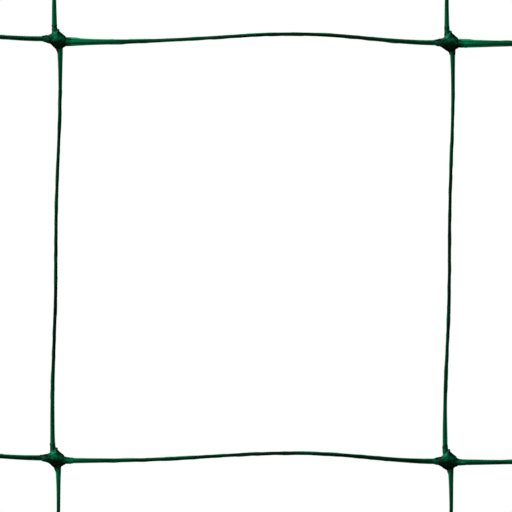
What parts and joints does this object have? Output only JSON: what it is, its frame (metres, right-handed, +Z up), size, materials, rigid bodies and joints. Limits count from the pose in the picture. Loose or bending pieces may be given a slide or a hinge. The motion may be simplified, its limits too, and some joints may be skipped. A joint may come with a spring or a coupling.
{
  "type": "climbing plant net",
  "caption": "Wide square-mesh green plastic garden netting for climbing plants: thin drawn strands joined at thick skewed knots, hung from its top row.",
  "frame": {"origin": "centre of the top row of knots, midway between the second and third knot, in the middle of the net's thickness", "axes": "+Z up the hanging net, +X along the rows of knots to the right seen from the front, -Y out of the front face"},
  "size_m": [0.4562, 0.0024, 0.5252],
  "materials": {
    "net_plastic": "glossy dark green polypropylene, paler and slightly see-through where it is drawn thin"
  },
  "bodies": {
    "row_1": {"knot_r1_c1": "net_plastic", "cross_strand_r1_c1": "net_plastic", "knot_r1_c2": "net_plastic", "cross_strand_r1_c2": "net_plastic", "knot_r1_c3": "net_plastic", "cross_strand_r1_c3": "net_plastic", "knot_r1_c4": "net_plastic", "top_tail_c1": "net_plastic", "top_tail_c2": "net_plastic", "top_tail_c3": "net_plastic", "top_tail_c4": "net_plastic"},
    "necks_1": {"neck_r1_c1": "net_plastic", "neck_r1_c2": "net_plastic", "neck_r1_c3": "net_plastic", "neck_r1_c4": "net_plastic"},
    "strand_r1_c1": {"down_strand_r1_c1": "net_plastic"},
    "strand_r1_c2": {"down_strand_r1_c2": "net_plastic"},
    "strand_r1_c3": {"down_strand_r1_c3": "net_plastic"},
    "strand_r1_c4": {"down_strand_r1_c4": "net_plastic"},
    "row_2": {"knot_r2_c1": "net_plastic", "cross_strand_r2_c1": "net_plastic", "knot_r2_c2": "net_plastic", "cross_strand_r2_c2": "net_plastic", "knot_r2_c3": "net_plastic", "cross_strand_r2_c3": "net_plastic", "knot_r2_c4": "net_plastic"},
    "necks_2": {"neck_r2_c1": "net_plastic", "neck_r2_c2": "net_plastic", "neck_r2_c3": "net_plastic", "neck_r2_c4": "net_plastic"},
    "strand_r2_c1": {"down_strand_r2_c1": "net_plastic"},
    "strand_r2_c2": {"down_strand_r2_c2": "net_plastic"},
    "strand_r2_c3": {"down_strand_r2_c3": "net_plastic"},
    "strand_r2_c4": {"down_strand_r2_c4": "net_plastic"},
    "row_3": {"knot_r3_c1": "net_plastic", "cross_strand_r3_c1": "net_plastic", "knot_r3_c2": "net_plastic", "cross_strand_r3_c2": "net_plastic", "knot_r3_c3": "net_plastic", "cross_strand_r3_c3": "net_plastic", "knot_r3_c4": "net_plastic"},
    "necks_3": {"neck_r3_c1": "net_plastic", "neck_r3_c2": "net_plastic", "neck_r3_c3": "net_plastic", "neck_r3_c4": "net_plastic"},
    "strand_r3_c1": {"down_strand_r3_c1": "net_plastic"},
    "strand_r3_c2": {"down_strand_r3_c2": "net_plastic"},
    "strand_r3_c3": {"down_strand_r3_c3": "net_plastic"},
    "strand_r3_c4": {"down_strand_r3_c4": "net_plastic"},
    "row_4": {"knot_r4_c1": "net_plastic", "cross_strand_r4_c1": "net_plastic", "knot_r4_c2": "net_plastic", "cross_strand_r4_c2": "net_plastic", "knot_r4_c3": "net_plastic", "cross_strand_r4_c3": "net_plastic", "knot_r4_c4": "net_plastic", "bottom_tail_c1": "net_plastic", "bottom_tail_c2": "net_plastic", "bottom_tail_c3": "net_plastic", "bottom_tail_c4": "net_plastic"}
  },
  "joints": [
    {"name": "fold_1", "type": "hinge", "parent": "row_1", "child": "necks_1", "pos_m": [0, 0, -0.0053], "axis": [1, 0, 0], "range_deg": [-110, 110], "stiffness_Nm_per_rad": 0.003},
    {"name": "skew_1", "type": "hinge", "parent": "necks_1", "child": "strand_r1_c2", "pos_m": [-0.07405, 0, -0.01928], "axis": [0, 1, 0], "range_deg": [-45, 45], "stiffness_Nm_per_rad": 0.004},
    {"name": "skew_1_c1", "type": "hinge", "parent": "necks_1", "child": "strand_r1_c1", "pos_m": [-0.22405, 0, -0.01928], "axis": [0, 1, 0], "range_deg": [-45, 45]},
    {"name": "skew_1_c3", "type": "hinge", "parent": "necks_1", "child": "strand_r1_c3", "pos_m": [0.07595, 0, -0.01928], "axis": [0, 1, 0], "range_deg": [-45, 45]},
    {"name": "skew_1_c4", "type": "hinge", "parent": "necks_1", "child": "strand_r1_c4", "pos_m": [0.22595, 0, -0.01928], "axis": [0, 1, 0], "range_deg": [-45, 45]},
    {"name": "level_2", "type": "hinge", "parent": "strand_r1_c2", "child": "row_2", "pos_m": [-0.07643, 0, -0.1541], "axis": [0, 1, 0], "range_deg": [-45, 45]},
    {"name": "fold_2", "type": "hinge", "parent": "row_2", "child": "necks_2", "pos_m": [0, 0, -0.1653], "axis": [1, 0, 0], "range_deg": [-110, 110], "stiffness_Nm_per_rad": 0.003},
    {"name": "skew_2", "type": "hinge", "parent": "necks_2", "child": "strand_r2_c2", "pos_m": [-0.07405, 0, -0.17928], "axis": [0, 1, 0], "range_deg": [-45, 45], "stiffness_Nm_per_rad": 0.004},
    {"name": "skew_2_c1", "type": "hinge", "parent": "necks_2", "child": "strand_r2_c1", "pos_m": [-0.22405, 0, -0.17928], "axis": [0, 1, 0], "range_deg": [-45, 45]},
    {"name": "skew_2_c3", "type": "hinge", "parent": "necks_2", "child": "strand_r2_c3", "pos_m": [0.07595, 0, -0.17928], "axis": [0, 1, 0], "range_deg": [-45, 45]},
    {"name": "skew_2_c4", "type": "hinge", "parent": "necks_2", "child": "strand_r2_c4", "pos_m": [0.22595, 0, -0.17928], "axis": [0, 1, 0], "range_deg": [-45, 45]},
    {"name": "level_3", "type": "hinge", "parent": "strand_r2_c2", "child": "row_3", "pos_m": [-0.07643, 0, -0.3141], "axis": [0, 1, 0], "range_deg": [-45, 45]},
    {"name": "fold_3", "type": "hinge", "parent": "row_3", "child": "necks_3", "pos_m": [0, 0, -0.3253], "axis": [1, 0, 0], "range_deg": [-110, 110], "stiffness_Nm_per_rad": 0.003},
    {"name": "skew_3", "type": "hinge", "parent": "necks_3", "child": "strand_r3_c2", "pos_m": [-0.07405, 0, -0.33928], "axis": [0, 1, 0], "range_deg": [-45, 45], "stiffness_Nm_per_rad": 0.004},
    {"name": "skew_3_c1", "type": "hinge", "parent": "necks_3", "child": "strand_r3_c1", "pos_m": [-0.22405, 0, -0.33928], "axis": [0, 1, 0], "range_deg": [-45, 45]},
    {"name": "skew_3_c3", "type": "hinge", "parent": "necks_3", "child": "strand_r3_c3", "pos_m": [0.07595, 0, -0.33928], "axis": [0, 1, 0], "range_deg": [-45, 45]},
    {"name": "skew_3_c4", "type": "hinge", "parent": "necks_3", "child": "strand_r3_c4", "pos_m": [0.22595, 0, -0.33928], "axis": [0, 1, 0], "range_deg": [-45, 45]},
    {"name": "level_4", "type": "hinge", "parent": "strand_r3_c2", "child": "row_4", "pos_m": [-0.07643, 0, -0.4741], "axis": [0, 1, 0], "range_deg": [-45, 45]}
  ],
  "couplings": [
    {"joint": "skew_1_c1", "follows": "skew_1", "ratio": 1},
    {"joint": "skew_1_c3", "follows": "skew_1", "ratio": 1},
    {"joint": "skew_1_c4", "follows": "skew_1", "ratio": 1},
    {"joint": "level_2", "follows": "skew_1", "ratio": -1},
    {"joint": "skew_2_c1", "follows": "skew_2", "ratio": 1},
    {"joint": "skew_2_c3", "follows": "skew_2", "ratio": 1},
    {"joint": "skew_2_c4", "follows": "skew_2", "ratio": 1},
    {"joint": "level_3", "follows": "skew_2", "ratio": -1},
    {"joint": "skew_3_c1", "follows": "skew_3", "ratio": 1},
    {"joint": "skew_3_c3", "follows": "skew_3", "ratio": 1},
    {"joint": "skew_3_c4", "follows": "skew_3", "ratio": 1},
    {"joint": "level_4", "follows": "skew_3", "ratio": -1}
  ]
}
